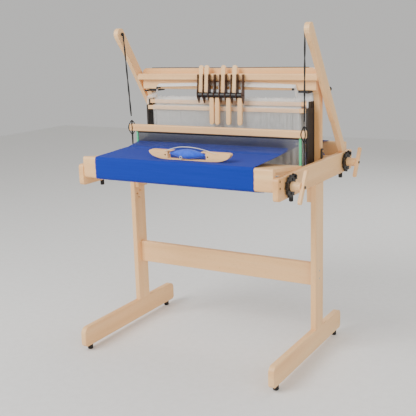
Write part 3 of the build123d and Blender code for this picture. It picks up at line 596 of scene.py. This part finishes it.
top_lo, top_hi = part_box("beater_top_rail")
low_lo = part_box("beater_bottom_rail")[0]
hang = joint_at["beater_swing"]
STRAND = 2.35 * MM
STRANDS_APART = 1.25 * MM   # from the pair's middle
TWIST = 150 * MM            # length of one turn
LOOP_WIDE = 8.5 * MM
BOARD_MIDDLE = -31.5 * MM
BOARD_INNER = 408 * MM      # the side boards' inner faces from their middle
parts = []
for end, x, arm in (
    (-1, top_lo.x + 9 * MM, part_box("arm_left")[1].x),
    (1, top_hi.x - 6 * MM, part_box("arm_right")[0].x),
):
    upper = [(arm + end * 13 * MM, hang.y, hang.z), (arm - end * 2 * MM, hang.y, hang.z),
             (arm - end * 7.5 * MM, hang.y, hang.z - 6 * MM)]
    for s in range(1, 14):
        t = s / 14
        upper.append((arm - end * 7.5 * MM + (x - arm + end * 7.5 * MM) * t, hang.y,
                      hang.z - 6 * MM + (top_hi.z + 14 * MM - hang.z) * t))
    upper = smooth(upper, 4)
    for phase in (0, math.pi):
        parts.append(tube(twisted(upper, STRANDS_APART, TWIST, phase), STRAND, 8))
    # each strand passes one side of the rail's end, in front and behind, and they meet again below
    for side in (-1, 1):
        for face, y in ((-1, top_lo.y - 1.4 * MM), (1, top_hi.y + 1.4 * MM)):
            mid = (top_lo.z + top_hi.z) / 2
            spread = LOOP_WIDE
            if side == end:
                spread = min(spread, BOARD_INNER - abs(x - BOARD_MIDDLE) + 6 * MM)
            parts.append(tube(smooth([
                (x + side * 1.5 * MM, hang.y, top_hi.z + 15 * MM),
                (x + side * spread * 0.55, (hang.y + y) / 2 + face * 3 * MM, top_hi.z + 4 * MM),
                (x + side * spread, y, mid + 5 * MM),
                (x + side * spread, y, mid - 5 * MM),
                (x + side * spread * 0.55, (hang.y + y) / 2 + face * 3 * MM, top_lo.z - 3 * MM),
                (x + side * 1.5 * MM, hang.y, top_lo.z - 16 * MM),
            ], 6), STRAND * 0.85, 8))
    lower = smooth([(x, hang.y, top_lo.z - 12 * MM + (low_lo.z - 8 * MM - top_lo.z + 12 * MM) * s / 10)
                    for s in range(11)], 3)
    for phase in (0, math.pi):
        parts.append(tube(twisted(lower, STRANDS_APART, TWIST, phase), STRAND, 8))
    # knots: at the arm's inner face and under the bottom rail
    knot = []
    for k in range(41):
        a = 2 * math.pi * k / 18
        knot.append((arm - end * (2.6 + 3.0 * k / 40) * MM, hang.y + 4.6 * MM * math.cos(a),
                     hang.z + 4.6 * MM * math.sin(a)))
    parts.append(tube(knot, STRAND, 8))
    knot = []
    for k in range(41):
        a = 2 * math.pi * k / 18
        knot.append((x + 4.2 * MM * math.cos(a), hang.y + 4.2 * MM * math.sin(a),
                     low_lo.z - (2.0 + 7.5 * k / 40) * MM))
    parts.append(tube(knot, STRAND, 8))
cords = piece("elastic_cords", *joined(parts), M_ELASTIC, "beater", "elastic")
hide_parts("beater_cords")

# ------------------------------------------------------------------ warp threads
cloth_lo, cloth_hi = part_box("cloth")
THREADS = 104               # on each shaft
WARP_R = 0.6 * MM
SELVEDGE = 3 * MM           # from the cloth's edge to the first thread
FELL = Vector((0, cloth_hi.y - 0.3 * MM, cloth_hi.z - 1.0 * MM))
beam_lo, beam_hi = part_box("back_beam")
BACK = Vector((0, beam_lo.y + 4 * MM, beam_hi.z + 0.4 * MM))
for i in range(1, LEVER_COUNT + 1):
    lo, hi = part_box(f"shaft_{i}")
    y, eye = (lo.y + hi.y) / 2, lo.z + 2 * MM + EYE_UP
    body = f"shaft_body_{i}"
    front, rear = [], []
    for k in range(THREADS):
        share = (k + i / LEVER_COUNT) / THREADS
        x = cloth_lo.x + SELVEDGE + (cloth_hi.x - cloth_lo.x - 2 * SELVEDGE) * share
        run = [Vector((x, FELL.y, FELL.z)).lerp(Vector((x, y, eye)), s / 6) for s in range(7)]
        front.append(tube(run, WARP_R, 4))
        run = [Vector((x, y, eye)).lerp(Vector((x, BACK.y, BACK.z)), s / 6) for s in range(7)]
        rear.append(tube(run, WARP_R, 4))
    threads = piece(f"warp_front_{i}", *joined(front), M_WARP, None, "warp_yarn")
    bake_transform(threads)
    threads = piece(f"warp_back_{i}", *joined(rear), M_WARP, None, "warp_yarn")
    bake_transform(threads)


def arc(cy, cz, radius, start, end, count):
    """Points (y, z) along an arc, from one angle in degrees to another."""
    out = []
    for k in range(count + 1):
        a = math.radians(start + (end - start) * k / count)
        out.append((cy + radius * math.cos(a), cz + radius * math.sin(a)))
    return out


# the warp over the back beam and down to its roller, as a ribbed skin of threads
BEAM_ROUND = 9 * MM         # middle of a beam's rounded edge, in from its face
axis = joint_at["warp_beam_turn"]
mid = (beam_lo.y + beam_hi.y) / 2
route = [(BACK.y, BACK.z)]
route += arc(mid, beam_hi.z - BEAM_ROUND, 10.6 * MM, 100, 0, 8)
route += arc(mid, beam_lo.z + BEAM_ROUND, 10.6 * MM, 0, -82, 8)
route.append((axis.y + 3 * MM, axis.z - 32.0 * MM))
strands = []
TAIL = THREADS * 3
for k in range(TAIL):
    x = cloth_lo.x + SELVEDGE + (cloth_hi.x - cloth_lo.x - 2 * SELVEDGE) * (k + 0.5) / TAIL
    strands.append(tube([(x, y, z) for y, z in route], WARP_R, 4))
tail = piece("warp_tail", *joined(strands), M_WARP, ROOT, "warp_yarn")
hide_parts("warp")

# ------------------------------------------------------------------ cloth
def between(a, b, count):
    """Points (y, z) on the straight run from a to b, without its two ends."""
    return [tuple(p + (q - p) * s / count for p, q in zip(a, b)) for s in range(1, count)]


beam_lo, beam_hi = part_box("front_beam")
mid = (beam_lo.y + beam_hi.y) / 2
axis = joint_at["cloth_beam_turn"]
over = (beam_hi.y - beam_lo.y) / 2 + 0.9 * MM
first = arc(mid, beam_hi.z - BEAM_ROUND, over, 86, 180, 10)
second = arc(mid, beam_lo.z + BEAM_ROUND, over, 180, 262, 10)
last = (axis.y - 3 * MM, axis.z - 31.2 * MM)
line = [(cloth_hi.y - 0.2 * MM, cloth_hi.z - 0.7 * MM)]
line += between(line[0], first[0], 24) + first
line += between(first[-1], second[0], 10) + second
line += between(second[-1], last, 8) + [last]
COLUMNS = 120
verts, faces = [], []
for row, (y, z) in enumerate(line):
    draw = 0.7 * MM * math.sin(row * 1.9) + 0.4 * MM * math.sin(row * 0.63)
    for c in range(COLUMNS + 1):
        u = c / COLUMNS
        x = cloth_lo.x + 1 * MM + (cloth_hi.x - cloth_lo.x - 2 * MM) * u
        edge = max(0.0, 1 - min(u, 1 - u) * 60)
        x += draw * edge * (1 if u < 0.5 else -1)
        ripple = 0.14 * MM * math.sin(u * 95 + row * 0.35) + 0.1 * MM * math.sin(u * 31 - row * 0.2)
        verts.append((x, y, z + ripple))
stride = COLUMNS + 1
for r in range(len(line) - 1):
    for c in range(COLUMNS):
        a = r * stride + c
        faces.append((a, a + 1, a + stride + 1, a + stride))
web = piece("cloth_web", verts, faces, M_CLOTH, None, "blue_cloth")
thick = web.modifiers.new("thickness", "SOLIDIFY")
thick.thickness = 1.0 * MM
thick.offset = 0
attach(web, ROOT)
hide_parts("cloth")


# ------------------------------------------------------------------ rollers with what is wound on them
def wound(name, body, axis, turns, inner, outer, mat, slot):
    """A spiral of cloth seen from its ends, and closed to a sleeve."""
    points = []
    steps = 48
    for k in range(turns * steps + 1):
        a = 2 * math.pi * k / steps
        r = inner + (outer - inner) * k / (turns * steps)
        points.append((axis.y + r * math.cos(a), axis.z + r * math.sin(a)))
    verts, faces = [], []
    for x in (cloth_lo.x, cloth_hi.x):
        for y, z in points:
            verts.append((x + random.uniform(-0.4, 0.4) * MM, y, z))
    n = len(points)
    for k in range(n - 1):
        faces.append((k, k + 1, n + k + 1, n + k))
    obj = piece(name, verts, faces, mat, None, slot)
    solid = obj.modifiers.new("thickness", "SOLIDIFY")
    solid.thickness = (outer - inner) / turns * 0.8
    solid.offset = -1
    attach(obj, body)
    return obj


TURNS = 5
CORE_R = 22 * MM
WOUND_R = 22.4 * MM         # inside of the first turn
for name, node, body, outer, mat, slot in (
    ("cloth", "cloth_roller", "cloth_beam", 29.6, M_CLOTH, "blue_cloth"),
    ("warp", "warp_roller", "warp_beam", 30.6, M_WARP, "warp_yarn"),
):
    lo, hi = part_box(node)
    at = joint_at[name + "_beam_turn"]
    body_end = 20 * MM
    profile = [
        (lo.x, 7 * MM), (lo.x + 1 * MM, 8 * MM), (lo.x + body_end, 8 * MM), (lo.x + body_end, 21 * MM),
        (lo.x + body_end + 1 * MM, CORE_R), (hi.x - 30 * MM, CORE_R), (hi.x - 29 * MM, 21 * MM),
        (hi.x - 29 * MM, 8 * MM), (hi.x, 8 * MM),
    ]
    core = piece(name + "_roller_core", *lathe_x(profile, at.y, at.z),
                 wood("beech_" + node, "X", 80 + outer), body, "beech")
    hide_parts(node)
    core.data.polygons.foreach_set("use_smooth", [True] * len(core.data.polygons))
    bevelled(core, 0.6 * MM, 2)
    roll = wound(name + "_wound", body, at, TURNS, WOUND_R, outer * MM, mat, slot)

# ------------------------------------------------------------------ lift cords
peg_lo, peg_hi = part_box("cord_guides")
plates_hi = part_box("lever_plates")[1]
HALF_PEGS = 314 * MM        # from the middle to where the cords leave the pegs
HALF_DROPS = 366 * MM       # and to where they drop to the shafts
MIDDLE = (peg_lo.x + peg_hi.x) / 2
THREAD = 1.15 * MM
runs = []
for i in range(1, LEVER_COUNT + 1):
    k = i - 1
    axle = joint_at[f"lever_{i}_turn"]
    lo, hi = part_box(f"shaft_{i}")
    y = (lo.y + hi.y) / 2
    layer = (996.5 + 2.4 * k) * MM
    lane_y = plates_hi.y + (3.8 + 2.1 * k) * MM
    lane_z = (1044 + 2.1 * k) * MM
    drop = []
    for end in (-1, 1):
        x0 = axle.x + end * 2 * MM
        corner = MIDDLE + end * HALF_PEGS
        x_turn = MIDDLE + end * HALF_DROPS
        route = [
            (x0, plates_hi.y - 2.2 * MM, axle.z - 2 * MM),
            (x0, plates_hi.y + 1.6 * MM, axle.z + 22 * MM),
            (x0, plates_hi.y + 1.6 * MM, lane_z - 2 * MM),
            (x0 + end * 2 * MM, lane_y, lane_z),
            (corner, lane_y, (1038 + 1.5 * k) * MM),
            (corner + end * 8 * MM, lane_y, layer),
            (x_turn, y, layer),
        ]
        runs.append(tube(route, THREAD * 0.8, 6))
        down = hi.z + 0.3 * MM - layer
        drop.append(tube([(x_turn, y, layer + down * s / 6) for s in range(7)], THREAD, 6))
    cord = piece(f"drop_cords_{i}", *joined(drop), M_STRING, None, "string")
    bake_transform(cord)
lifts = piece("lift_runs", *joined(runs), M_STRING, ROOT, "string")
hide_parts("lift_cords")

# thin black cord along the castle's top edge
lo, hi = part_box("castle_board")
route = []
for k in range(25):
    s = k / 24
    route.append((lo.x + 45 * MM + (hi.x - lo.x - 75 * MM) * s, lo.y + 6 * MM,
                  hi.z + 1.4 * MM + 0.5 * MM * math.sin(s * 9)))
piece("castle_cord", *tube(route, 1.3 * MM, 8), M_ELASTIC, ROOT, "elastic")

# ------------------------------------------------------------------ shuttle and bobbin
# Drawn lying on its back as in the CAD, x along it, then stood on its curved side on the cloth.
spin = joint_at["bobbin_spin"]
TILT = math.atan(9.5 / 197)
THICK = 22 * MM
WELL = (-91 * MM, 73 * MM, 14.4 * MM)
AXIS = (5 * MM, THICK / 2)      # the bobbin's axis over the shuttle's middle line and its back
REST = (
    Matrix.Translation(spin)
    @ Matrix.Rotation(math.pi / 2 + TILT, 4, "X")
    @ Matrix.Translation((0, -AXIS[0], -AXIS[1]))
)


def prism(outline, z0, z1):
    """A closed plan outline, drawn out between two heights."""
    n = len(outline)
    verts = [Vector((x, y, z)) for z in (z0, z1) for x, y in outline]
    faces = [(k, (k + 1) % n, n + (k + 1) % n, n + k) for k in range(n)]
    faces.append(tuple(range(n))[::-1])
    faces.append(tuple(range(n, 2 * n)))
    return verts, faces


def shuttle_plan():
    """The hull's outline: a straight side, two rounded tips and a curved side."""
    right = [(x, y) for x, y, _ in smooth([(x * MM, y * MM, 0) for x, y in (
        (92, -17), (123, -15), (143, -10.5), (163, -2), (172.5, 9), (169.5, 14.8), (160, 17))], 6)]
    return right + [(-x, y) for x, y in right[::-1]]


def well_plan():
    """The bobbin's well, with rounded corners."""
    x0, x1, wide = WELL
    r = 4 * MM
    out = []
    corners = ((x1 - r, wide - r), (x0 + r, wide - r), (x0 + r, r - wide), (x1 - r, r - wide))
    for quarter, (cx, cy) in enumerate(corners):
        for k in range(7):
            a = math.radians(90 * quarter + 15 * k)
            out.append((cx + r * math.cos(a), cy + r * math.sin(a)))
    return out


def round_plan(x, y, r, count=20):
    return [(x + r * math.cos(2 * math.pi * k / count), y + r * math.sin(2 * math.pi * k / count))
            for k in range(count)]


def placed(data):
    """Mesh data moved to where the shuttle rests."""
    return [REST @ Vector(v) for v in data[0]], data[1]


M_SHUTTLE = wood("beech_shuttle", "X", 91)
hull = piece("shuttle_hull", *prism(shuttle_plan(), 0, THICK), M_SHUTTLE, None, "beech")
HOLE_XS = (WELL[0] - 10 * MM, WELL[1] + 7 * MM)
OPEN_SIDE = [(-80 * MM, 12 * MM), (64 * MM, 12 * MM), (49 * MM, 18 * MM), (-65 * MM, 18 * MM)]
cutters = [prism(well_plan(), -5 * MM, THICK + 5 * MM), prism(OPEN_SIDE, -5 * MM, THICK + 5 * MM)]
for x in HOLE_XS:
    cutters.append(prism(round_plan(x, 0, 3.2 * MM), THICK - 6 * MM, THICK + 5 * MM))
for data in cutters:
    knife = piece("knife", *data, M_SHUTTLE)
    cut = hull.modifiers.new("cut", "BOOLEAN")
    cut.operation = "DIFFERENCE"
    cut.object = knife
    cut.solver = "EXACT"
    with bpy.context.temp_override(object=hull, active_object=hull, selected_objects=[hull]):
        bpy.ops.object.modifier_apply(modifier=cut.name)
    bpy.data.objects.remove(knife, do_unlink=True)
hull.data.transform(REST)
hull.data.polygons.foreach_set("use_smooth", [True] * len(hull.data.polygons))
bevelled(hull, 1.6 * MM, 4)
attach(hull, "shuttle_body")
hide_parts("shuttle")

# dark plugs sunk just under the deck in the two holes: painted shade, so the holes look deep and black
hole_shade = [tube([(x, 0, THICK - 5.8 * MM), (x, 0, THICK - 1.5 * MM)], 2.9 * MM, 16) for x in HOLE_XS]
piece("shuttle_hole_shade", *placed(joined(hole_shade)), M_SCREW, "shuttle_body", "zinc_steel")
rod = [(WELL[0] - 1 * MM, *AXIS), (WELL[1] + 1 * MM, *AXIS)]
piece("shuttle_spindle", *placed(tube(rod, 2 * MM, 16)), M_ZINC, "shuttle_body", "zinc_steel")
bow = smooth([(x * MM, y * MM, z * MM) for x, y, z in (
    (-97, 14, 19), (-97.5, 15, 24.5), (-68, 25, 24.5), (-30, 33, 24.5), (20, 33.5, 24.5), (72, 26, 24.5),
    (115, 15, 24.5), (116, 13.5, 19))], 10)
piece("shuttle_bow", *placed(tube(bow, 1.1 * MM, 10)), M_PALE, "shuttle_body", "zinc_steel")
ring = []
for k in range(28):
    a = 2 * math.pi * k / 28
    ring.append((-30 * MM + 4.6 * MM * math.cos(a), -6 * MM + 4.6 * MM * math.sin(a), THICK + 5.5 * MM))
stem = [(-30 * MM, -15.7 * MM, THICK - 2 * MM), (-30 * MM, -15.7 * MM, THICK + 4 * MM),
        (-30 * MM, -10.6 * MM, THICK + 5.5 * MM)]
eyelet = [tube(ring, 1.25 * MM, 10, closed=True), tube(stem, 1.2 * MM, 8)]
piece("shuttle_eyelet", *placed(joined(eyelet)), M_PALE, "shuttle_body", "zinc_steel")

middle = spin.x + (WELL[0] + WELL[1]) / 2
profile = []
for k in range(91):
    s = -1 + 2 * k / 90
    swell = 3.6 + 14.6 * (1 - abs(s) ** 1.9) ** 1.35
    uneven = 0.16 * math.sin(k * 2.1) + 0.1 * math.sin(k * 0.9)
    profile.append((middle + s * 75 * MM, (swell + uneven) * MM))
yarn_roll = piece("bobbin_wound", *lathe_x(profile, spin.y, spin.z, 40), M_BOBBIN, "bobbin_body",
                  "blue_bobbin")
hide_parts("bobbin")
tips = []
for end in (-1, 1):
    ends = sorted((middle + end * 74 * MM, middle + end * 79 * MM))
    bush = [(ends[0], 2.1 * MM), (ends[0], 3.5 * MM), (ends[1], 3.5 * MM), (ends[1], 2.1 * MM)]
    tips.append(lathe_x(bush, spin.y, spin.z, 24))
piece("bobbin_tips", *joined(tips), M_PALE, "bobbin_body", "blue_bobbin")

# ------------------------------------------------------------------ floor, lights and camera
floor = piece("studio_floor", [(-6, -6, 0), (6, -6, 0), (6, 6, 0), (-6, 6, 0)], [(0, 1, 2, 3)],
              plastic("floor_paint", srgb(226, 225, 222), 0.6, 60))
floor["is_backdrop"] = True

world = bpy.data.worlds.new("studio") if bpy.context.scene.world is None else bpy.context.scene.world
bpy.context.scene.world = world
world.use_nodes = True
world.node_tree.nodes["Background"].inputs["Color"].default_value = (0.92, 0.91, 0.89, 1)
world.node_tree.nodes["Background"].inputs["Strength"].default_value = 0.68


def lamp(name, place, target, size, power):
    data = bpy.data.lights.new(name, "AREA")
    data.size = size
    data.energy = power
    obj = bpy.data.objects.new(name, data)
    bpy.context.scene.collection.objects.link(obj)
    obj.location = place
    obj.rotation_euler = (Vector(target) - Vector(place)).to_track_quat("-Z", "Y").to_euler()
    return obj


lamp("key", (-1.6, -3.0, 3.2), (0, 0, 0.8), 2.2, 175)
lamp("fill", (3.0, -2.0, 1.8), (0, 0, 0.8), 2.6, 45)
lamp("back", (0.6, 3.0, 2.8), (0, 0, 0.9), 2.4, 55)

YAW, PITCH, ROLL = (math.radians(a) for a in (30.15, 12.55, -1.65))
ahead = Vector((-math.sin(YAW) * math.cos(PITCH), math.cos(YAW) * math.cos(PITCH), -math.sin(PITCH)))
right = ahead.cross(Vector((0, 0, 1))).normalized()
up = right.cross(ahead)
right, up = (
    right * math.cos(ROLL) + up * math.sin(ROLL),
    up * math.cos(ROLL) - right * math.sin(ROLL),
)
camera_data = bpy.data.cameras.new("camera")
camera_data.sensor_width = 36
camera_data.lens = 66.04
camera_data.shift_x = -0.0063
camera_data.shift_y = -0.0095
camera = bpy.data.objects.new("camera", camera_data)
bpy.context.scene.collection.objects.link(camera)
turned = Matrix((right, up, -ahead)).transposed().to_4x4()
camera.matrix_world = Matrix.Translation((1.4675, -2.636, 1.247)) @ turned
bpy.context.scene.camera = camera

lo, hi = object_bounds()
